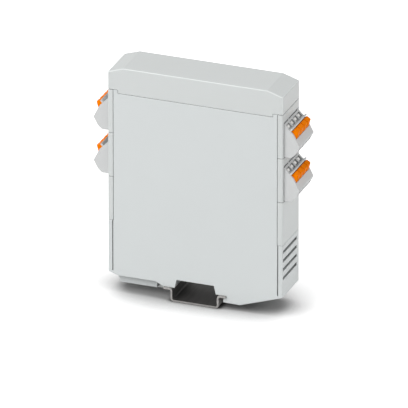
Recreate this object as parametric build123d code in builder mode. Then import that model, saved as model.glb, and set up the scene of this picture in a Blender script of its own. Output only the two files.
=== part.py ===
import os
from math import hypot

from build123d import *

# Rail: the standard 35 mm top-hat strip that the housing clamps on
rail_width = 35.0
rail_base_width = 27.0
rail_height = 7.5
rail_sheet = 1.0
rail_bend_radius = 0.8
rail_stub_length = 27.0

# Housing overall: X across the front, Y along the rail, Z away from the rail
housing_width = 98.0
housing_thickness = 25.0
front_above_rail = 121.7
wall = 1.8
edge_round = 0.8

# Gaps between pieces: a joint line with broken edges, and a running fit
seam = 0.15
running_gap = 0.2
seam_chamfer = 0.25

# Front cap
cap_height = 13.0
cap_bevel_run = 8.8
cap_bevel_drop = 2.8
cap_lip_inset = 5.6
cap_lip_drop = 1.8
cap_tongue_width = 9.0
cap_tongue_thickness = 1.5
cap_tongue_length = 7.0
cap_tongue_spread = 25.0

# Frames stacked down each narrow side
frame_pitch = 25.0
frame_count = 3
frame_strip = 3.1
frame_depth = 13.0
frame_shell = 1.2
frame_top_margin = 7.0
frame_bottom_margin = 2.0

# Foot of the housing
side_foot_rise = 4.0
left_floor_rise = 2.2
left_bevel_run = 5.4
left_seat_run = 5.0
recess_top_half = 10.5
recess_foot_half = 11.6
recess_rise = 4.8
hook_grip = 1.6
hook_thickness = 2.7
hook_gap = 0.1
keel_run = 9.2
keel_drop = 0.2

# Vent slots in the narrow walls below the frames
vent_pitch = 5.0
vent_height = 1.8
vent_top_margin = 2.9
vent_foot_margin = 9.0
vent_near_skin = 0.8
vent_far_margin = 3.6
groove_inset = 2.7
groove_width = 0.6
groove_depth = 0.7
groove_foot_margin = 0.8

# Circuit board and the ribs that guide it
board_thickness = 1.6
board_offset = 5.4
board_front_gap = 4.0
board_edge_gap = 0.6
board_rib = 1.2
board_rib_height = 3.0
board_rib_spread = 8.0

# Ribs on the big walls that the frames stop against
stop_rib = 1.2
stop_rib_height = 1.2

# Plug: drops are measured down from the top of its frame, reaches out from the narrow face
pole_count = 4
pole_pitch = 5.0
plug_width = 21.6
plug_seat = 1.6
plug_brow_drop = 5.7
plug_slope_run = 5.2
plug_nose_reach = 8.7
plug_nose_drop = 17.7
plug_heel_reach = 6.3
plug_heel_margin = 2.8
plug_foot_margin = 0.7
plug_heel_round = 2.3
tongue_width = 18.4
tongue_top_drop = 8.6
tongue_bottom_margin = 3.6
shadow_gap = 0.9
coding_rib_height = 0.7
coding_rib_length = 1.5
coding_rib_near = 4.0
coding_rib_far = 10.0
ridge_width = 0.9
ridge_height = 1.7

# Chambers, wire entries and test points inside the plug
chamber_width = 3.9
chamber_front = 2.0
chamber_shell = 1.2
entry_width = 3.4
entry_height = 3.0
entry_depth = 7.0
entry_taper = 5.0
test_width = 3.8
test_length = 2.8
test_depth = 0.9
test_centre = 2.45

# Push levers, measured along the plug's slope from its brow and outwards from it
lever_start = 5.3
lever_length = 4.8
lever_width = 4.3
lever_side_gap = 0.12
lever_lip = 0.15
lever_shoulder_run = 0.35
lever_shoulder_rise = 1.8
lever_crest_run = 2.9
lever_rise = 2.5
lever_nose_drop = 0.9
lever_nose_chamfer = 0.6
lever_sink = 2.4
lever_travel = 1.4
lever_floor_gap = 0.3

# Header and its pins
header_length = 8.0
header_seat = 3.3
header_slot_depth = 3.9
pin_size = 1.0
pin_drop = 14.5
pin_tip = 3.5

# Clamp contacts
contact_strip = 0.5
contact_width = 3.3
contact_bend = 0.7
contact_tip_inset = 0.5
contact_leaf_end = 4.5
contact_bar_start = 3.2
contact_bar_end = 1.4
contact_leg_rise = 1.7
contact_leg_lean = 3.4
contact_leg_top = 3.55

# Foot catch and its guides
catch_width = 15.0
catch_ledge = 1.5
catch_grip = 1.7
catch_tip = 0.4
catch_underside = 3.5
catch_nose_top_gap = 0.3
catch_outer_end = 4.0
catch_top_gap = 0.3
catch_slot_length = 2.5
catch_slot_width = 6.0
catch_slot_inset = 1.5
guide_wall = 1.5
guide_lip = 1.3
guide_foot_gap = 0.2

# Heights and half widths that follow from the sizes above
half_width = housing_width / 2
half_thickness = housing_thickness / 2
inner_half = half_thickness - wall
top_z = rail_height + front_above_rail
stack_top = top_z - cap_height
stack_bottom = stack_top - frame_count * frame_pitch
lip_z = stack_top - cap_lip_drop
lip_half = half_width - cap_lip_inset
plate_half = half_width - frame_strip
rail_half = rail_width / 2
flange_bottom = rail_height - rail_sheet
side_foot_z = rail_height + side_foot_rise
left_floor_z = rail_height + left_floor_rise
recess_z = rail_height + recess_rise
hook_tip_x = rail_half - hook_grip
hook_top_z = flange_bottom - hook_gap
hook_bottom_z = hook_top_z - hook_thickness
keel_x = hook_tip_x + keel_run
keel_z = hook_bottom_z - keel_drop
catch_nose_z = flange_bottom - catch_nose_top_gap
frame_half = inner_half - seam
plug_heel_drop = frame_pitch - plug_heel_margin
tongue_bottom_drop = frame_pitch - tongue_bottom_margin
header_start = frame_depth - header_seat
tongue_length = header_start - running_gap
pole_offsets = [(i - (pole_count - 1) / 2) * pole_pitch for i in range(pole_count)]
side_plane = Plane.XZ


def save(part, name):
    """Label a finished piece and write it to its own file."""
    part.label = name
    export_step(part, f"parts/{name}.step")


def on_side(part, side):
    """Return a right-hand piece, or its mirror image for the left side."""
    if side == "right":
        return part
    with BuildPart() as mirrored:
        mirror(part, about=Plane.YZ)
    return mirrored.part


def frame_plane(frame_top):
    """Plane whose x runs out of the right narrow face and whose y runs up from a frame's top."""
    return Plane(origin=(half_width, 0, frame_top), x_dir=(1, 0, 0), z_dir=(0, -1, 0))


def slope_plane(frame_top):
    """Plane whose x runs down the plug's 45 degree slope from its brow and whose y points out."""
    brow = (half_width, 0, frame_top - plug_brow_drop)
    return Plane(origin=brow, x_dir=(1, 0, -1), z_dir=(0, -1, 0))


def on_outside(edge, half):
    """Tell whether an edge lies on a big face, or on a narrow one farther out than a half width."""
    return abs(edge.center().Y) > inner_half or abs(edge.center().X) > half + seam


def entry_plane(frame_top):
    """Plane on the wire-entry face between nose and heel, facing inwards, with x along the row of poles."""
    nose = Vector(half_width + plug_nose_reach, 0, frame_top - plug_nose_drop)
    heel = Vector(half_width + plug_heel_reach, 0, frame_top - plug_heel_drop)
    return Plane(origin=(nose + heel) / 2, x_dir=(0, 1, 0), z_dir=Vector(0, 1, 0).cross(heel - nose))


# Rail stub, one strip folded to a top hat
def rail_stub():
    web_x = (rail_base_width - rail_sheet) / 2
    low = rail_sheet / 2
    high = rail_height - rail_sheet / 2
    with BuildPart() as rail:
        with BuildSketch(side_plane):
            with BuildLine():
                FilletPolyline(
                    (-rail_half, high), (-web_x, high), (-web_x, low),
                    (web_x, low), (web_x, high), (rail_half, high),
                    radius=rail_bend_radius + rail_sheet / 2,
                )
            trace(line_width=rail_sheet)
        extrude(amount=rail_stub_length / 2, both=True)
    return rail.part


# Housing tub: the outline of the big face, hollowed from the front and from both narrow sides
def housing_tub():
    foot_slope = (side_foot_z - keel_z) / (half_width - keel_x)
    slope_skin = wall * hypot(1, foot_slope)
    end_inner = half_width - wall
    left_skin_z = left_floor_z + wall
    hook_notch_x = rail_half + hook_gap
    with BuildPart() as tub:
        with BuildSketch(side_plane):
            with BuildLine():
                Polyline(
                    (-plate_half, stack_top), (-lip_half, stack_top), (-lip_half, lip_z),
                    (lip_half, lip_z), (lip_half, stack_top), (plate_half, stack_top),
                    (plate_half, stack_bottom), (half_width, stack_bottom),
                    (half_width, side_foot_z), (keel_x, keel_z), (hook_tip_x, hook_bottom_z),
                    (hook_tip_x, hook_top_z), (hook_notch_x, hook_top_z), (hook_notch_x, rail_height),
                    (recess_foot_half, rail_height), (recess_top_half, recess_z),
                    (-recess_top_half, recess_z), (-recess_foot_half, rail_height),
                    (-rail_half - hook_gap, rail_height),
                    (-rail_half - hook_gap - left_seat_run, left_floor_z),
                    (-half_width + left_bevel_run, left_floor_z), (-half_width, side_foot_z),
                    (-half_width, stack_bottom), (-plate_half, stack_bottom),
                    close=True,
                )
            make_face()
        extrude(amount=half_thickness, both=True)
        corners = tub.edges().filter_by(Axis.Z).group_by(Axis.X)
        fillet(corners[0] + corners[-1], edge_round)
        joint_edges = tub.edges().filter_by_position(Axis.Z, stack_bottom, stack_top)
        chamfer(joint_edges.filter_by(lambda edge: on_outside(edge, plate_half)), seam_chamfer)

        # Room for the frames and the board, open at the front and at both narrow sides
        with BuildSketch(side_plane):
            with Locations((0, stack_bottom)):
                Rectangle(2 * housing_width, front_above_rail, align=(Align.CENTER, Align.MIN))
        extrude(amount=inner_half, both=True, mode=Mode.SUBTRACT)

        # Foot, cored to an even skin over the recess, the hook and the left floor
        with BuildSketch(side_plane):
            with BuildLine():
                Polyline(
                    (-end_inner, stack_bottom), (-end_inner, side_foot_z + wall),
                    (-half_width + left_bevel_run, left_skin_z), (-recess_foot_half - wall, left_skin_z),
                    (-recess_top_half - wall, recess_z + wall), (recess_top_half + wall, recess_z + wall),
                    (recess_foot_half + wall, rail_height + wall),
                    (hook_notch_x + wall, rail_height + wall), (hook_notch_x + wall, keel_z + slope_skin),
                    (keel_x, keel_z + slope_skin),
                    (end_inner, keel_z + slope_skin + (end_inner - keel_x) * foot_slope),
                    (end_inner, stack_bottom),
                    close=True,
                )
            make_face()
        extrude(amount=inner_half, both=True, mode=Mode.SUBTRACT)

        # Vent slots through both narrow walls
        vent_room = stack_bottom - side_foot_z - vent_foot_margin - vent_top_margin
        vent_count = int(vent_room // vent_pitch) + 1
        vent_length = housing_thickness - vent_near_skin - vent_far_margin
        vent_centre = (vent_near_skin - vent_far_margin) / 2
        with BuildSketch(Plane.YZ.offset(end_inner)) as vents:
            for row in range(vent_count):
                with Locations((vent_centre, stack_bottom - vent_top_margin - row * vent_pitch)):
                    Rectangle(vent_length, vent_height, align=(Align.CENTER, Align.MAX))
        extrude(amount=2 * wall, mode=Mode.SUBTRACT)
        with BuildSketch(Plane.YZ.offset(-end_inner)):
            add(vents.sketch_local)
        extrude(amount=-2 * wall, mode=Mode.SUBTRACT)

        # Shallow groove beside each vent wall, on both big faces
        groove_bottom = side_foot_z + groove_foot_margin
        groove_faces = [Plane.XZ.offset(half_thickness), Plane.XZ.offset(-half_thickness)]
        for face, inward in zip(groove_faces, (-1, 1)):
            with BuildSketch(face):
                for x in (-half_width + groove_inset, half_width - groove_inset):
                    with Locations((x, groove_bottom)):
                        Rectangle(groove_width, stack_bottom - groove_bottom, align=(Align.CENTER, Align.MIN))
            extrude(amount=inward * groove_depth, mode=Mode.SUBTRACT)

        # Stop ribs inside the big walls, behind the frames
        rib_x = half_width - frame_depth - seam - stop_rib / 2
        for x in (-rib_x, rib_x):
            for y in (-inner_half + stop_rib_height / 2, inner_half - stop_rib_height / 2):
                with Locations((x, y, stack_bottom)):
                    Box(
                        stop_rib, stop_rib_height, frame_count * frame_pitch - cap_lip_drop - wall,
                        align=(Align.CENTER, Align.CENTER, Align.MIN),
                    )

        # Ribs on the floor that the board stands between
        rib_y = (board_thickness + board_rib) / 2 + seam
        for x in (-board_rib_spread, board_rib_spread):
            for y in (board_offset - rib_y, board_offset + rib_y):
                with Locations((x, y, recess_z + wall)):
                    Box(
                        board_rib, board_rib, board_rib_height,
                        align=(Align.CENTER, Align.CENTER, Align.MIN),
                    )

        # Two hooked guides under the left floor that carry the catch
        guide_start = -half_width + left_bevel_run
        guide_end = -rail_half - hook_gap - left_seat_run
        guide_bottom = catch_nose_z - guide_foot_gap - guide_lip
        guide_inner = catch_width / 2 + running_gap
        with BuildSketch(Plane.YZ.offset(guide_start)):
            with BuildLine():
                Polyline(
                    (guide_inner, left_floor_z), (guide_inner + guide_wall, left_floor_z),
                    (guide_inner + guide_wall, guide_bottom),
                    (guide_inner - catch_ledge, guide_bottom),
                    (guide_inner - catch_ledge, guide_bottom + guide_lip),
                    (guide_inner, guide_bottom + guide_lip),
                    close=True,
                )
            make_face()
            mirror(about=Plane.YZ)
        extrude(amount=guide_end - guide_start)
    return tub.part


# Front cap, an inverted tray with bevelled ends and four tongues
def front_cap():
    with BuildPart() as cap:
        with BuildSketch(side_plane):
            with BuildLine():
                Polyline(
                    (-half_width, stack_top + seam), (-lip_half + seam, stack_top + seam),
                    (-lip_half + seam, lip_z + seam), (lip_half - seam, lip_z + seam),
                    (lip_half - seam, stack_top + seam), (half_width, stack_top + seam),
                    (half_width, top_z - cap_bevel_drop), (half_width - cap_bevel_run, top_z),
                    (-half_width + cap_bevel_run, top_z), (-half_width, top_z - cap_bevel_drop),
                    close=True,
                )
            make_face()
        extrude(amount=half_thickness, both=True)
        fillet(cap.edges().filter_by_position(Axis.Z, stack_top + cap_lip_drop, top_z), edge_round)
        rim = cap.edges().filter_by_position(Axis.Z, lip_z, stack_top + cap_lip_drop)
        chamfer(rim.filter_by(lambda edge: on_outside(edge, lip_half)), seam_chamfer)
        with BuildSketch(side_plane):
            with BuildLine():
                Polyline(
                    (-half_width + wall, lip_z), (half_width - wall, lip_z),
                    (half_width - wall, top_z - cap_bevel_drop - wall / 2),
                    (half_width - cap_bevel_run, top_z - wall),
                    (-half_width + cap_bevel_run, top_z - wall),
                    (-half_width + wall, top_z - cap_bevel_drop - wall / 2),
                    close=True,
                )
            make_face()
        extrude(amount=inner_half, both=True, mode=Mode.SUBTRACT)
        tongue_y = inner_half - seam - cap_tongue_thickness / 2
        for x in (-cap_tongue_spread, cap_tongue_spread):
            for y in (-tongue_y, tongue_y):
                with Locations((x, y, lip_z - cap_tongue_length)):
                    Box(
                        cap_tongue_width, cap_tongue_thickness, top_z - wall - lip_z + cap_tongue_length,
                        align=(Align.CENTER, Align.CENTER, Align.MIN),
                    )
    return cap.part


# Outer plate and inner sleeve that every frame shares
def frame_blank(frame_top):
    plane = frame_plane(frame_top)
    plate_depth = frame_strip - seam
    plate_height = frame_pitch - seam
    with BuildPart() as frame:
        with BuildSketch(plane):
            with Locations((0, -seam / 2)):
                Rectangle(plate_depth, plate_height, align=(Align.MAX, Align.MAX))
        extrude(amount=half_thickness, both=True)
        fillet(frame.edges().filter_by(Axis.Z).group_by(Axis.X)[-1], edge_round)
        rim = frame.faces().filter_by(Axis.Z).edges()
        chamfer(rim + frame.edges().filter_by(Axis.Z).group_by(Axis.X)[0], seam_chamfer)
        with BuildSketch(plane):
            with Locations((-plate_depth, -frame_top_margin)):
                Rectangle(
                    frame_depth - plate_depth, frame_pitch - frame_top_margin - frame_bottom_margin,
                    align=(Align.MAX, Align.MAX),
                )
        extrude(amount=frame_half, both=True)
    return frame.part


# Connector frame: a frame with a seat for the plug, a slot above it and a sleeve for its tongue
def connector_frame(frame_top):
    plane = frame_plane(frame_top)
    seat_top = plug_brow_drop - shadow_gap
    seat_bottom = frame_pitch - plug_foot_margin + running_gap
    sleeve_top = tongue_top_drop - running_gap
    sleeve_bottom = tongue_bottom_drop + running_gap
    with BuildPart() as frame:
        add(frame_blank(frame_top))
        with BuildSketch(plane):
            with Locations((-plug_seat - seam, -seat_top)):
                Rectangle(2 * plug_seat, seat_bottom - seat_top, align=(Align.MIN, Align.MAX))
            with Locations((0, -seat_top)):
                Rectangle(2 * frame_strip, shadow_gap, align=(Align.CENTER, Align.MAX))
        extrude(amount=plug_width / 2 + running_gap, both=True, mode=Mode.SUBTRACT)
        with BuildSketch(plane):
            with Locations((0, -sleeve_top)):
                Rectangle(2 * frame_depth + seam, sleeve_bottom - sleeve_top, align=(Align.CENTER, Align.MAX))
        extrude(amount=tongue_width / 2 + running_gap, both=True, mode=Mode.SUBTRACT)
    return frame.part


# Blank frame: the same outside with a plain face, hollow from behind
def blank_frame(frame_top):
    with BuildPart() as frame:
        add(frame_blank(frame_top))
        with BuildSketch(frame_plane(frame_top)):
            with Locations((-wall, -frame_top_margin - frame_shell)):
                Rectangle(
                    frame_depth, frame_pitch - frame_top_margin - frame_bottom_margin - 2 * frame_shell,
                    align=(Align.MAX, Align.MAX),
                )
        extrude(amount=frame_half - frame_shell, both=True, mode=Mode.SUBTRACT)
    return frame.part


# Plug: slanted head with lever wells and wire funnels, and a tongue with one chamber for each pole
def plug(frame_top):
    plane = frame_plane(frame_top)
    slope = slope_plane(frame_top)
    foot_drop = frame_pitch - plug_foot_margin
    with BuildPart() as body:
        with BuildSketch(plane):
            with BuildLine():
                Polyline(
                    (-plug_seat, -plug_brow_drop), (0, -plug_brow_drop),
                    (plug_slope_run, -plug_brow_drop - plug_slope_run),
                    (plug_nose_reach, -plug_nose_drop), (plug_heel_reach, -plug_heel_drop),
                    (plug_heel_reach - plug_heel_round, -foot_drop), (-plug_seat, -foot_drop),
                    close=True,
                )
            make_face()
        extrude(amount=plug_width / 2, both=True)
        low_edges = body.edges().filter_by(Axis.Y).group_by(Axis.Z)[:3]
        fillet([group.sort_by(Axis.X)[-1] for group in low_edges], plug_heel_round / 2)
        with BuildSketch(plane):
            with Locations((-plug_seat, -tongue_top_drop)):
                Rectangle(
                    tongue_length - plug_seat, tongue_bottom_drop - tongue_top_drop,
                    align=(Align.MAX, Align.MAX),
                )
        extrude(amount=tongue_width / 2, both=True)

        # Ridge between the test points and the levers
        with BuildSketch(slope):
            with Locations((lever_start - lever_side_gap, 0)):
                Rectangle(ridge_width, 2 * ridge_height, align=(Align.MAX, Align.CENTER))
        extrude(amount=plug_width / 2, both=True)

        # Coding ribs that bridge the gap above the plug
        with BuildSketch(plane.offset(coding_rib_near), plane.offset(-coding_rib_far)):
            with Locations((0, -plug_brow_drop)):
                Rectangle(plug_seat, coding_rib_height, align=(Align.MAX, Align.MIN))
        extrude(amount=coding_rib_length / 2, both=True)

        # Chambers, open at the back of the tongue
        with BuildSketch(*[plane.offset(y) for y in pole_offsets]):
            with Locations((chamber_front, -tongue_top_drop - chamber_shell)):
                Rectangle(
                    2 * tongue_length, tongue_bottom_drop - tongue_top_drop - 2 * chamber_shell,
                    align=(Align.MAX, Align.MAX),
                )
        extrude(amount=chamber_width / 2, both=True, mode=Mode.SUBTRACT)

        # Wells that the levers are pressed into
        well_depth = lever_sink + lever_travel + lever_floor_gap
        with BuildSketch(*[slope.offset(y) for y in pole_offsets]):
            with Locations((lever_start - lever_side_gap, -well_depth)):
                Rectangle(
                    lever_length + 2 * lever_side_gap, well_depth + lever_rise,
                    align=(Align.MIN, Align.MIN),
                )
        extrude(amount=lever_width / 2 + lever_side_gap, both=True, mode=Mode.SUBTRACT)

        # Tapered wire entries under the nose, one for each pole
        with BuildSketch(entry_plane(frame_top)):
            with GridLocations(pole_pitch, pole_pitch, pole_count, 1):
                Rectangle(entry_width, entry_height)
        extrude(amount=entry_depth, taper=entry_taper, mode=Mode.SUBTRACT)

        # Square test points along the top of the slope
        with BuildSketch(*[slope.offset(y) for y in pole_offsets]):
            with Locations((test_centre, 0)):
                Rectangle(test_length, 2 * test_depth)
        extrude(amount=test_width / 2, both=True, mode=Mode.SUBTRACT)
    return body.part


# Push lever for the pole at a distance along the row
def lever(frame_top, pole_offset):
    slope = slope_plane(frame_top)
    crest_end = lever_start + lever_crest_run
    with BuildPart() as pushed:
        with BuildSketch(slope.offset(pole_offset)):
            with BuildLine():
                Polyline(
                    (lever_start, lever_lip), (lever_start + lever_shoulder_run, lever_shoulder_rise),
                    (crest_end, lever_rise),
                    (lever_start + lever_length, -lever_nose_drop),
                    (lever_start + lever_length, -lever_sink), (lever_start, -lever_sink),
                    close=True,
                )
            make_face()
        extrude(amount=lever_width / 2, both=True)
        side_edges = pushed.edges().filter_by(Axis.Y, reverse=True)
        chamfer(
            side_edges.filter_by(lambda edge: slope.to_local_coords(edge.center()).X > crest_end),
            lever_nose_chamfer,
        )
    return pushed.part


# Header that closes the inner end of the frame's sleeve and grips the board's edge
def header(frame_top):
    plane = frame_plane(frame_top)
    with BuildPart() as block:
        with BuildSketch(plane):
            with Locations((-header_start, -tongue_top_drop)):
                Rectangle(header_length, tongue_bottom_drop - tongue_top_drop, align=(Align.MAX, Align.MAX))
        extrude(amount=tongue_width / 2, both=True)
        with BuildSketch(plane.offset(-board_offset)):
            with Locations((-header_start - header_length, -tongue_top_drop)):
                Rectangle(
                    header_slot_depth, tongue_bottom_drop - tongue_top_drop, align=(Align.MIN, Align.MAX)
                )
        extrude(amount=board_thickness / 2 + seam / 2, both=True, mode=Mode.SUBTRACT)
        add(header_pins(frame_top), mode=Mode.SUBTRACT)
    return block.part


# Contact pins of one header
def header_pins(frame_top):
    root = header_start + header_length - header_slot_depth - running_gap
    with BuildPart() as pins:
        with BuildSketch(*[frame_plane(frame_top).offset(y) for y in pole_offsets]):
            with Locations((-root, -pin_drop)):
                Rectangle(root - pin_tip, pin_size, align=(Align.MIN, Align.CENTER))
        extrude(amount=pin_size / 2, both=True)
    return pins.part


# Clamp contacts of one plug, each a strip folded under its pin and round its wire
def contacts(frame_top):
    leaf_drop = pin_drop + pin_size / 2 + contact_strip / 2 + running_gap
    bar_drop = tongue_bottom_drop - chamber_shell - contact_strip / 2
    leg_drop = tongue_top_drop + chamber_shell + contact_leg_top
    with BuildPart() as strips:
        with BuildSketch(*[frame_plane(frame_top).offset(y) for y in pole_offsets]):
            with BuildLine():
                FilletPolyline(
                    (contact_tip_inset - tongue_length, -leaf_drop), (-contact_leaf_end, -leaf_drop),
                    (-contact_bar_start, -bar_drop), (contact_bar_end, -bar_drop),
                    (contact_bar_end, -bar_drop + contact_leg_rise),
                    (contact_bar_end - contact_leg_lean, -leg_drop),
                    radius=contact_bend,
                )
            trace(line_width=contact_strip)
        extrude(amount=contact_width / 2, both=True)
    return strips.part


# Circuit board: wide between the vent walls, narrower between the headers
def circuit_board():
    floor_z = recess_z + wall
    wide_half = half_width - wall - board_edge_gap
    narrow_half = half_width - header_start - header_length + header_slot_depth - seam
    with BuildPart() as board:
        with BuildSketch(Plane.XZ.offset(-board_offset)):
            with BuildLine():
                Polyline(
                    (-wide_half, floor_z), (wide_half, floor_z), (wide_half, stack_bottom - board_edge_gap),
                    (narrow_half, stack_bottom - board_edge_gap), (narrow_half, lip_z - board_front_gap),
                    (-narrow_half, lip_z - board_front_gap), (-narrow_half, stack_bottom - board_edge_gap),
                    (-wide_half, stack_bottom - board_edge_gap),
                    close=True,
                )
            make_face()
        extrude(amount=board_thickness / 2, both=True)
    return board.part


# Foot catch: a ledged slide with a nose that grips the rail's left flange from below
def foot_catch():
    outer_x = -half_width + catch_outer_end
    nose_x = -rail_half + catch_grip
    shoulder_x = -rail_half - hook_gap - left_seat_run - seam
    top = left_floor_z - catch_top_gap
    neck_x = -rail_half - 2 * catch_nose_top_gap
    with BuildPart() as catch:
        with BuildSketch(side_plane):
            with BuildLine():
                Polyline(
                    (outer_x, catch_underside), (nose_x - catch_grip, catch_underside),
                    (nose_x, catch_nose_z - catch_tip), (nose_x, catch_nose_z), (neck_x, catch_nose_z),
                    (shoulder_x, top), (outer_x, top),
                    close=True,
                )
            make_face()
        extrude(amount=catch_width / 2, both=True)
        for side in (-1, 1):
            with Locations((0, side * catch_width / 2, catch_nose_z)):
                Box(2 * housing_width, 2 * catch_ledge, catch_nose_z,
                    align=(Align.CENTER, Align.CENTER, Align.MAX), mode=Mode.SUBTRACT)
        with Locations((outer_x + catch_slot_inset, 0, top)):
            Box(catch_slot_length, catch_slot_width, 2 * top,
                align=(Align.MIN, Align.CENTER, Align.CENTER), mode=Mode.SUBTRACT)
    return catch.part


os.makedirs("parts", exist_ok=True)
save(rail_stub(), "rail")
save(housing_tub(), "housing")
save(front_cap(), "front_cap")
save(circuit_board(), "circuit_board")
save(foot_catch(), "foot_catch")
for side in ("left", "right"):
    for level, place in enumerate(("upper", "lower")):
        frame_top = stack_top - level * frame_pitch
        where = f"{side}_{place}"
        save(on_side(connector_frame(frame_top), side), f"connector_frame_{where}")
        save(on_side(plug(frame_top), side), f"plug_{where}")
        save(on_side(contacts(frame_top), side), f"contacts_{where}")
        save(on_side(header(frame_top), side), f"header_{where}")
        save(on_side(header_pins(frame_top), side), f"header_pins_{where}")
        for number, pole_offset in enumerate(pole_offsets, start=1):
            save(on_side(lever(frame_top, pole_offset), side), f"lever_{where}_{number}")
    save(on_side(blank_frame(stack_bottom + frame_pitch), side), f"blank_frame_{side}")
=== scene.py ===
import math

import bmesh
import bpy
from mathutils import Matrix, Vector


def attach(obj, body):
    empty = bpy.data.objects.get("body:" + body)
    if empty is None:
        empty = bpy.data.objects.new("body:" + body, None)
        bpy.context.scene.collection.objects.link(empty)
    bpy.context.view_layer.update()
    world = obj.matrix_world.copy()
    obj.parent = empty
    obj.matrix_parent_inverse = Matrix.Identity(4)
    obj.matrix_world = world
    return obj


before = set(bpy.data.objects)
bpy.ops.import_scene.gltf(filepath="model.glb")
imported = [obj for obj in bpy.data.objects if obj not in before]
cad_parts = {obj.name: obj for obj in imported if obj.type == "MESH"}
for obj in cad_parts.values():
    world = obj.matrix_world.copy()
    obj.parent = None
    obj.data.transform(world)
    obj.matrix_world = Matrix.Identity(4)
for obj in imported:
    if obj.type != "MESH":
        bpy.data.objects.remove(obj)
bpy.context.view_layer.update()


# Housing: one injection-moulded tub of light grey polyamide with a fine spark-eroded grain.
# The grain, the slow change of tone over the big walls, painted highlights on the edges and
# corners, and painted shade in the joints and hollows are one shared effect, which every plastic
# piece here uses with its own values.
JOINT_REACH = 0.0012
FLOW_SCALE = 26.0
EDGE_GAIN = 4.0
GRAIN_ROUGHNESS = 0.12
DUST_ROUGHNESS = 0.2


def start_group(name, inputs, outputs):
    """Makes a shader node group with named sockets and returns its tree, entry and exit."""
    tree = bpy.data.node_groups.new(name, "ShaderNodeTree")
    for label, value in inputs.items():
        kind = "NodeSocketVector" if isinstance(value, tuple) else "NodeSocketFloat"
        socket = tree.interface.new_socket(label, in_out="INPUT", socket_type=kind)
        socket.default_value = value
    for label, kind in outputs.items():
        tree.interface.new_socket(label, in_out="OUTPUT", socket_type=kind)
    return tree, tree.nodes.new("NodeGroupInput"), tree.nodes.new("NodeGroupOutput")


def add_node(tree, kind, inputs=None, **settings):
    """Adds a node with its settings, and links or sets its inputs by name or number."""
    node = tree.nodes.new(kind)
    for key, value in settings.items():
        setattr(node, key, value)
    for key, value in (inputs or {}).items():
        if isinstance(value, bpy.types.NodeSocket):
            tree.links.new(value, node.inputs[key])
        else:
            node.inputs[key].default_value = value
    return node


def reckon(tree, operation, *values):
    """Adds a Math node for one sum and returns its result."""
    return add_node(tree, "ShaderNodeMath", dict(enumerate(values)), operation=operation).outputs[0]


def ramp(tree, value, start, end, low=0.0, high=1.0):
    """Adds a node that takes the range from start to end to the one from low to high."""
    limits = {"Value": value, "From Min": start, "From Max": end, "To Min": low, "To Max": high}
    return add_node(tree, "ShaderNodeMapRange", limits).outputs[0]


def openness(tree, reach, rays):
    """Adds a node for how open a point is within the reach: 1 in the open, 0 shut in."""
    inputs = {"Distance": reach}
    return add_node(tree, "ShaderNodeAmbientOcclusion", inputs, samples=rays).outputs["AO"]


def soft_edges(tree, radius):
    """Adds a node for the normal with its edges rounded to the radius."""
    return add_node(tree, "ShaderNodeBevel", {"Radius": radius}, samples=4).outputs[0]


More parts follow.
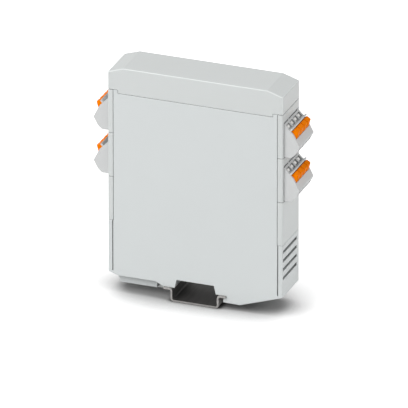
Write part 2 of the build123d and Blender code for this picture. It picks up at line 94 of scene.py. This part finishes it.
def moulded_surface():
    """Node group for moulded plastic: shade, roughness and normal from grain, flow, painted
    highlights and painted shade.
    """
    tree, entry, exit_ = start_group(
        "moulded_surface",
        {"Grain Scale": 2600.0, "Grain Depth": 0.00001, "Flow Spread": 0.02,
         "Edge Radius": 0.00015, "Edge Light": 0.1, "Corner Light": 0.0, "Joint Dust": 0.15,
         "Hollow Shade": 0.8, "Hollow Reach": 0.012, "Roughness": 0.45},
        {"Shade": "NodeSocketFloat", "Roughness": "NodeSocketFloat", "Normal": "NodeSocketVector"},
    )
    asked = entry.outputs
    place = add_node(tree, "ShaderNodeTexCoord").outputs["Object"]
    grain = add_node(tree, "ShaderNodeTexNoise", {
        "Vector": place, "Scale": asked["Grain Scale"], "Detail": 2.0, "Roughness": 0.6,
    }).outputs[0]
    flow = add_node(tree, "ShaderNodeTexNoise", {
        "Vector": place, "Scale": FLOW_SCALE, "Detail": 3.0, "Roughness": 0.5, "Distortion": 0.6,
    }).outputs[0]

    # An edge is where the rounded normal leaves the true one.
    rounded = soft_edges(tree, asked["Edge Radius"])
    flat = add_node(tree, "ShaderNodeNewGeometry").outputs["Normal"]
    agree = add_node(tree, "ShaderNodeVectorMath", {0: rounded, 1: flat}, operation="DOT_PRODUCT")
    edge = reckon(tree, "SUBTRACT", 1.0, agree.outputs["Value"])
    edge = reckon(tree, "MINIMUM", reckon(tree, "MULTIPLY", edge, EDGE_GAIN), 1.0)

    # A rounded corner is where the normal lies along none of the three axes.
    squareness = add_node(tree, "ShaderNodeVectorMath", {0: flat}, operation="ABSOLUTE").outputs[0]
    parts = add_node(tree, "ShaderNodeSeparateXYZ", {0: squareness}).outputs
    squareness = reckon(tree, "MAXIMUM", reckon(tree, "MAXIMUM", parts[0], parts[1]), parts[2])
    corner = ramp(tree, squareness, start=0.93, end=0.8)

    # How open a point is sets painted shade: the joint part darkens narrow gaps and the hollow part
    # deep recesses.
    open_air = openness(tree, JOINT_REACH, rays=6)
    shut_in = reckon(tree, "SUBTRACT", 1.0, open_air)
    hollow = ramp(tree, openness(tree, asked["Hollow Reach"], rays=6), start=0.5, end=0.1)

    # Painted light: the edge and corner parts are painted highlights, and the joint and hollow
    # parts are painted shade.
    flow_part = reckon(tree, "MULTIPLY", reckon(tree, "SUBTRACT", flow, 0.5), asked["Flow Spread"])
    open_edge = reckon(tree, "MULTIPLY", edge, open_air)
    edge_part = reckon(tree, "MULTIPLY", open_edge, asked["Edge Light"])
    corner_part = reckon(tree, "MULTIPLY", corner, asked["Corner Light"])
    joint_shade_part = reckon(tree, "MULTIPLY", shut_in, asked["Joint Dust"])
    shade = reckon(tree, "ADD", reckon(tree, "ADD", 1.0, flow_part),
                   reckon(tree, "ADD", edge_part, corner_part))
    shade = reckon(tree, "SUBTRACT", shade, joint_shade_part)
    kept = reckon(tree, "SUBTRACT", 1.0, reckon(tree, "MULTIPLY", hollow, asked["Hollow Shade"]))
    tree.links.new(reckon(tree, "MULTIPLY", shade, kept), exit_.inputs["Shade"])

    grain_part = reckon(tree, "MULTIPLY", reckon(tree, "SUBTRACT", grain, 0.5), GRAIN_ROUGHNESS)
    rough = reckon(tree, "ADD", asked["Roughness"], grain_part)
    rough = reckon(tree, "ADD", rough, reckon(tree, "MULTIPLY", shut_in, DUST_ROUGHNESS))
    tree.links.new(rough, exit_.inputs["Roughness"])

    bump = add_node(tree, "ShaderNodeBump", {
        "Strength": 1.0, "Distance": asked["Grain Depth"], "Height": grain, "Normal": rounded,
    })
    tree.links.new(bump.outputs[0], exit_.inputs["Normal"])
    return tree


def make_material(name, group, shade_socket, colour, metallic, values):
    """Makes a material: a colour times the group's shade, with its roughness and its normal."""
    material = bpy.data.materials.new(name)
    material.use_nodes = True
    tree = material.node_tree
    surface = add_node(tree, "ShaderNodeGroup", node_tree=group)
    for label, value in values.items():
        surface.inputs[label.replace("_", " ").title()].default_value = value
    tint = add_node(tree, "ShaderNodeVectorMath",
                    {0: colour, "Scale": surface.outputs[shade_socket]}, operation="SCALE")
    shader = tree.nodes["Principled BSDF"]
    shader.inputs["Metallic"].default_value = metallic
    tree.links.new(tint.outputs[0], shader.inputs["Base Color"])
    tree.links.new(surface.outputs["Roughness"], shader.inputs["Roughness"])
    tree.links.new(surface.outputs["Normal"], shader.inputs["Normal"])
    return material


moulded = moulded_surface()


def plastic(name, colour, **values):
    """Material of one moulded finish: its colour, with the shared surface at its own values."""
    return make_material(name, moulded, "Shade", colour, 0.0, values)


def dress(material, *names):
    """Puts a material on the frame's own nodes."""
    for name in names:
        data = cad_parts[name].data
        data.materials.clear()
        data.materials.append(material)


dress(plastic("housing_grey", (0.67, 0.70, 0.70), roughness=0.42, flow_spread=0.03,
              edge_radius=0.0003, hollow_reach=0.025), "housing")


# Circuit board: bare epoxy-glass laminate under green solder mask, with raised tracks that run
# along it on a coarse grid. It stands between the ribs on the housing's floor.
MASK_DARK = (0.012, 0.085, 0.035, 1.0)
MASK_LIGHT = (0.02, 0.13, 0.05, 1.0)
TRACK_GREEN = (0.05, 0.23, 0.09, 1.0)
TRACK_HEIGHT = 0.00004
BOARD_ROUGHNESS = 0.28
WEAVE_ROUGHNESS = 0.15


def mix_colours(tree, factor, first, second):
    """Adds a Mix node for two colours, which are its sockets 6 and 7, and returns its colour."""
    return add_node(tree, "ShaderNodeMix", {"Factor": factor, 6: first, 7: second},
                    data_type="RGBA").outputs[2]


def board_laminate():
    """Material of the board: weave under green mask, and raised tracks on a coarse grid."""
    material = bpy.data.materials.new("board_laminate")
    material.use_nodes = True
    tree = material.node_tree
    place = add_node(tree, "ShaderNodeTexCoord").outputs["Object"]
    upright = add_node(tree, "ShaderNodeMapping", {
        "Vector": place, "Rotation": (math.radians(90), 0.0, 0.0),
    }).outputs[0]
    tracks = add_node(tree, "ShaderNodeTexBrick", {
        "Vector": upright, "Scale": 120.0, "Mortar Size": 0.035, "Mortar Smooth": 0.1,
        "Brick Width": 1.7, "Row Height": 0.31,
    }, offset=0.37).outputs["Fac"]
    weave = add_node(tree, "ShaderNodeTexNoise", {
        "Vector": place, "Scale": 1500.0, "Detail": 1.0,
    }).outputs[0]
    mask = mix_colours(tree, weave, MASK_DARK, MASK_LIGHT)
    bump = add_node(tree, "ShaderNodeBump", {"Distance": TRACK_HEIGHT, "Height": tracks})
    shader = tree.nodes["Principled BSDF"]
    tree.links.new(mix_colours(tree, tracks, mask, TRACK_GREEN), shader.inputs["Base Color"])
    tree.links.new(bump.outputs[0], shader.inputs["Normal"])
    rough = reckon(tree, "ADD", BOARD_ROUGHNESS, reckon(tree, "MULTIPLY", weave, WEAVE_ROUGHNESS))
    tree.links.new(rough, shader.inputs["Roughness"])
    return material


dress(board_laminate(), "circuit_board")


# Headers: black glass-filled polyamide blocks, pressed on the board's edge and closing the
# inner ends of the frames. Their square pins are tinned brass wire.
SIDES = {"left": -1, "right": 1}
LEVELS = {"upper": 0, "lower": 1}
PLACES = [f"{side}_{level}" for side in SIDES for level in LEVELS]
DRAWN_EDGE_RADIUS = 0.0001
STREAK_DEPTH = 0.000004
STREAK_ROUGHNESS = 0.15
METAL_HOLLOW_REACH = 0.03


def drawn_surface():
    """Node group for drawn or rolled metal: tone, roughness and normal from its streaks, with
    painted shade in hollows.
    """
    tree, entry, exit_ = start_group(
        "drawn_surface",
        {"Stretch": (300.0, 2600.0, 2600.0), "Low": 0.85, "High": 1.05, "Hollow Shade": 0.6,
         "Hollow Half Width": 1.0, "End Tone": 1.0, "Roughness": 0.25},
        {"Tone": "NodeSocketFloat", "Roughness": "NodeSocketFloat", "Normal": "NodeSocketVector"},
    )
    asked = entry.outputs
    place = add_node(tree, "ShaderNodeTexCoord").outputs["Object"]
    drawn = add_node(tree, "ShaderNodeMapping", {"Vector": place, "Scale": asked["Stretch"]})
    streaks = add_node(tree, "ShaderNodeTexNoise", {
        "Vector": drawn.outputs[0], "Scale": 1.0, "Detail": 4.0,
    }).outputs[0]
    tone = ramp(tree, streaks, start=0.3, end=0.7, low=asked["Low"], high=asked["High"])

    # The metal is darker where it is shut in, within the half width asked for: painted shade.
    across = add_node(tree, "ShaderNodeSeparateXYZ", {0: place}).outputs[0]
    inside = reckon(tree, "LESS_THAN", reckon(tree, "ABSOLUTE", across), asked["Hollow Half Width"])
    hollow = ramp(tree, openness(tree, METAL_HOLLOW_REACH, rays=8), start=0.98, end=0.66)
    hollow = reckon(tree, "MULTIPLY", hollow, inside)
    kept = reckon(tree, "SUBTRACT", 1.0, reckon(tree, "MULTIPLY", hollow, asked["Hollow Shade"]))

    # The cut ends face along Y and have a tone of their own.
    flat = add_node(tree, "ShaderNodeNewGeometry").outputs["Normal"]
    facing = reckon(tree, "ABSOLUTE", add_node(tree, "ShaderNodeSeparateXYZ", {0: flat}).outputs[1])
    end_or_side = ramp(tree, facing, start=0.8, end=0.95, low=kept, high=asked["End Tone"])
    tree.links.new(reckon(tree, "MULTIPLY", tone, end_or_side), exit_.inputs["Tone"])

    rough = reckon(tree, "MULTIPLY", streaks, STREAK_ROUGHNESS)
    tree.links.new(reckon(tree, "ADD", asked["Roughness"], rough), exit_.inputs["Roughness"])

    rounded = soft_edges(tree, DRAWN_EDGE_RADIUS)
    bump = add_node(tree, "ShaderNodeBump", {
        "Strength": 0.4, "Distance": STREAK_DEPTH, "Height": streaks, "Normal": rounded,
    })
    tree.links.new(bump.outputs[0], exit_.inputs["Normal"])
    return tree


drawn_group = drawn_surface()


def metal(name, colour, **values):
    """Material of one metal finish: its colour, with the shared drawn surface at its own values."""
    return make_material(name, drawn_group, "Tone", colour, 1.0, values)


dress(plastic("header_black", (0.03, 0.03, 0.032), roughness=0.4, grain_depth=0.000015),
      *[f"header_{place}" for place in PLACES])
dress(metal("pin_tin", (0.74, 0.72, 0.68), roughness=0.22),
      *[f"header_pins_{place}" for place in PLACES])


# Frames: moulded plates stacked down each narrow side, pushed in until they meet the ribs
# inside the big walls. The upper two of a side hold plugs and the lowest one is plain.
dress(plastic("frame_grey", (0.66, 0.685, 0.68), roughness=0.42, edge_light=0.06,
              hollow_shade=0.97),
      *[f"connector_frame_{place}" for place in PLACES], *[f"blank_frame_{side}" for side in SIDES])


# Plugs: moulded heads that carry the wires, pushed into the frames from outside. Each pole has
# a bent clamp of tinned metal in its chamber, a tinned test contact in the floor of the small
# recess above, and an orange lever that opens the clamp.
POLES = 4
POLE_PITCH = 0.005
LEVEL_PITCH = 0.025
BROW_OUT = 0.049
BROW_UP = 0.1105
PLATE_LENGTH = 0.0017
PLATE_WIDTH = 0.0021
PLATE_THICKNESS = 0.0006
PLATE_EDGE = 0.00012
PLATE_DOWN_FACE = 0.00245
PLATE_UNDER_FACE = 0.0007

dress(plastic("plug_grey", (0.635, 0.645, 0.645), roughness=0.4, edge_light=0.15,
              edge_radius=0.0002, hollow_shade=0.4),
      *[f"plug_{place}" for place in PLACES])
contact_tin = metal("contact_tin", (0.74, 0.73, 0.71), stretch=(2600.0, 300.0, 2600.0),
                    hollow_shade=0.1)
dress(contact_tin, *[f"contacts_{place}" for place in PLACES])


def stamp_contacts(place):
    """Builds the four test contacts of one plug, each a small plate in the floor of its recess."""
    side, level = place.split("_")
    sign, drop = SIDES[side], LEVELS[level] * LEVEL_PITCH
    down = Vector((sign, 0.0, -1.0)).normalized()
    out = Vector((sign, 0.0, 1.0)).normalized()
    brow = Vector((sign * BROW_OUT, 0.0, BROW_UP - drop))
    plates = bmesh.new()
    for _ in range(POLES):
        made = bmesh.ops.create_cube(plates, size=1.0)["verts"]
        bmesh.ops.scale(plates, vec=(PLATE_LENGTH, PLATE_WIDTH, PLATE_THICKNESS), verts=made)
        edges = list({edge for vert in made for edge in vert.link_edges})
        bmesh.ops.bevel(plates, geom=edges, offset=PLATE_EDGE, affect="EDGES", segments=2,
                        profile=0.5, material=-1)
    turn = Matrix((down, Vector((0.0, 1.0, 0.0)), out)).transposed().to_4x4()
    corners = list(plates.verts)
    share = len(corners) // POLES
    for pole in range(POLES):
        along = Vector((0.0, (pole - (POLES - 1) / 2) * POLE_PITCH, 0.0))
        middle = brow + down * PLATE_DOWN_FACE - out * PLATE_UNDER_FACE + along
        bmesh.ops.transform(plates, matrix=Matrix.Translation(middle) @ turn,
                            verts=corners[pole * share:(pole + 1) * share])
    bmesh.ops.recalc_face_normals(plates, faces=plates.faces)
    mesh = bpy.data.meshes.new(f"test_contacts_{place}")
    plates.to_mesh(mesh)
    plates.free()
    mesh.materials.append(contact_tin)
    piece = bpy.data.objects.new(f"test_contacts_{place}", mesh)
    bpy.context.scene.collection.objects.link(piece)
    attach(piece, f"plug_{place}")


for place in PLACES:
    stamp_contacts(place)

lever_orange = plastic("lever_orange", (1.0, 0.235, 0.0), roughness=0.45, edge_light=0.2,
                       edge_radius=0.0003, joint_dust=0.0, hollow_shade=0.0, grain_depth=0.000006)
lever_orange.node_tree.nodes["Principled BSDF"].inputs["Specular IOR Level"].default_value = 0.02
dress(lever_orange,
      *[f"lever_{place}_{number}" for place in PLACES for number in range(1, POLES + 1)])


# Front cap: a moulded tray with bevelled ends, pushed over the tub until its four tongues
# hold inside the big walls.
dress(plastic("cap_grey", (0.65, 0.675, 0.67), roughness=0.4, edge_light=0.1, corner_light=0.25,
              joint_dust=0.05), "front_cap")


# Foot catch: a moulded slide of the same polyamide, held between two guides under the floor.
# Its nose grips the rail's flange.
dress(plastic("catch_grey", (0.69, 0.71, 0.70), roughness=0.45, grain_scale=1800.0,
              joint_dust=0.05, hollow_shade=0.3, edge_light=0.15), "foot_catch")


# Rail: a short length of galvanised steel strip, rolled to a top-hat section and cut to length.
# The sawn ends are brighter than the rolled faces, and the channel has painted shade inside.
RAIL_CHANNEL_HALF_WIDTH = 0.013
dress(metal("rail_zinc", (0.41, 0.40, 0.39), stretch=(900.0, 60.0, 900.0), low=0.8, high=1.1,
            roughness=0.6, hollow_shade=0.76, hollow_half_width=RAIL_CHANNEL_HALF_WIDTH,
            end_tone=1.05), "rail")


# Floor: a wide white sheet just under the rail, which runs out into a white room. It has painted
# shadow under the object, and in a narrow line where the rail touches it.
FLOOR_HALF_SIZE = 6.0
FLOOR_DROP = 0.00005
FLOOR_WHITE = 0.9
SHADOW_GREY = 0.4
SHADOW_REACH = 0.04
TOUCH_REACH = 0.003
TOUCH_GREY = 0.3
FLOOR_GLOW = 0.6
FLOOR_ROUGHNESS = 0.8
SPECKLE_ROUGHNESS = 0.1
PLAIN_WHITE = (1.0, 1.0, 1.0, 1.0)


def studio_floor():
    """Builds the floor sheet and its material, white to the camera, with real shadows and painted
    shadow near the object.
    """
    sheet = bmesh.new()
    bmesh.ops.create_grid(sheet, x_segments=2, y_segments=2, size=FLOOR_HALF_SIZE,
                          matrix=Matrix.Translation((0.0, 0.0, -FLOOR_DROP)))
    mesh = bpy.data.meshes.new("floor")
    sheet.to_mesh(mesh)
    sheet.free()
    floor = bpy.data.objects.new("floor", mesh)
    bpy.context.scene.collection.objects.link(floor)

    material = bpy.data.materials.new("floor_white")
    material.use_nodes = True
    mesh.materials.append(material)
    tree = material.node_tree
    shader = tree.nodes["Principled BSDF"]
    # Painted shadow: the floor is greyer where the object shuts it in, and greyest where the rail
    # touches it.
    clear = ramp(tree, openness(tree, SHADOW_REACH, rays=16), start=0.4, end=0.95)
    touching = openness(tree, TOUCH_REACH, rays=8)
    untouched = ramp(tree, touching, start=0.6, end=0.97, low=TOUCH_GREY)
    level = ramp(tree, clear, start=0.0, end=1.0, low=SHADOW_GREY, high=FLOOR_WHITE)
    level = reckon(tree, "MULTIPLY", level, untouched)

    # Only the camera and reflections see the painted shadow. The light that bounces off is plain.
    seen = add_node(tree, "ShaderNodeLightPath").outputs
    shown = reckon(tree, "MAXIMUM", seen["Is Camera Ray"], seen["Is Glossy Ray"])
    level = ramp(tree, shown, start=0.0, end=1.0, low=FLOOR_WHITE, high=level)
    white = add_node(tree, "ShaderNodeCombineXYZ", {0: level, 1: level, 2: level})
    tree.links.new(white.outputs[0], shader.inputs["Base Color"])

    # The glow fades under the same painted shadow.
    glow = reckon(tree, "MULTIPLY", shown, reckon(tree, "MULTIPLY", clear, untouched))
    tree.links.new(reckon(tree, "MULTIPLY", glow, FLOOR_GLOW), shader.inputs["Emission Strength"])
    shader.inputs["Emission Color"].default_value = PLAIN_WHITE

    place = add_node(tree, "ShaderNodeTexCoord").outputs["Object"]
    speckle = add_node(tree, "ShaderNodeTexNoise", {"Vector": place, "Scale": 400.0}).outputs[0]
    rough = reckon(tree, "MULTIPLY", speckle, SPECKLE_ROUGHNESS)
    rough = reckon(tree, "ADD", FLOOR_ROUGHNESS, rough)
    tree.links.new(rough, shader.inputs["Roughness"])
    shader.inputs["Specular IOR Level"].default_value = 0.0


studio_floor()


# Lamps: one large soft lamp in front and above, weaker ones at the right and low at the back,
# and an even white room, which the camera sees at full white and the object as a soft light.
LAMP_TARGET = Vector((0.0, 0.0, 0.06))
ROOM_LEVEL = 0.41


def soft_lamp(name, direction, distance, size, level):
    """Square lamp aimed at the object, giving a level of 1 to a white face turned to it."""
    lamp = bpy.data.lights.new(name, "AREA")
    lamp.size = size
    lamp.energy = level * math.pi**2 * distance**2
    holder = bpy.data.objects.new(name, lamp)
    towards = Vector(direction).normalized()
    holder.matrix_world = (Matrix.Translation(LAMP_TARGET + towards * distance)
                           @ towards.to_track_quat("Z", "Y").to_matrix().to_4x4())
    bpy.context.scene.collection.objects.link(holder)
    return holder


soft_lamp("front_lamp", (-0.35, -0.65, 0.68), distance=2.2, size=1.6, level=0.585)
soft_lamp("side_lamp", (0.83, -0.1, 0.52), distance=2.4, size=1.4, level=0.185)
back_lamp = soft_lamp("back_lamp", (-0.2, 0.95, 0.2), distance=2.4, size=1.4, level=0.25)
back_lamp.visible_glossy = False

world = bpy.data.worlds.new("white_room")
bpy.context.scene.world = world
world.use_nodes = True
room = world.node_tree
room_light = room.nodes["Background"]
room_light.inputs["Strength"].default_value = ROOM_LEVEL
room_light.inputs["Color"].default_value = PLAIN_WHITE
room_white = add_node(room, "ShaderNodeBackground", {"Color": PLAIN_WHITE, "Strength": 1.0})
ray = add_node(room, "ShaderNodeLightPath").outputs
direct = reckon(room, "MAXIMUM", ray["Is Camera Ray"], ray["Is Transmission Ray"])
direct = reckon(room, "MAXIMUM", direct, ray["Is Glossy Ray"])
chosen = add_node(room, "ShaderNodeMixShader", {
    0: direct, 1: room_light.outputs[0], 2: room_white.outputs[0],
})
room.links.new(chosen.outputs[0], room.nodes["World Output"].inputs["Surface"])


# Camera: far off with a long lens, as in the photograph, where edges stay almost parallel.
# Its angles, target and scale come from a fit of the housing's corners to the photograph's.
CAMERA_AZIMUTH = math.radians(20.67)
CAMERA_ELEVATION = math.radians(24.37)
CAMERA_DISTANCE = 8.0
CAMERA_TARGET = Vector((0.0019, -0.0043, 0.0547))
CAMERA_SENSOR = 36.0
PIXELS_PER_METRE = 1904.6
FRAME_PIXELS = 408

camera = bpy.data.objects.new("camera", bpy.data.cameras.new("camera"))
camera.data.sensor_width = CAMERA_SENSOR
camera.data.lens = PIXELS_PER_METRE * CAMERA_DISTANCE / FRAME_PIXELS * CAMERA_SENSOR
camera.data.clip_end = 30.0
backwards = Vector((
    math.sin(CAMERA_AZIMUTH) * math.cos(CAMERA_ELEVATION),
    -math.cos(CAMERA_AZIMUTH) * math.cos(CAMERA_ELEVATION),
    math.sin(CAMERA_ELEVATION),
))
camera.matrix_world = (Matrix.Translation(CAMERA_TARGET + backwards * CAMERA_DISTANCE)
                       @ (-backwards).to_track_quat("-Z", "Y").to_matrix().to_4x4())
bpy.context.scene.collection.objects.link(camera)
bpy.context.scene.camera = camera
bpy.context.scene.view_settings.view_transform = "Standard"
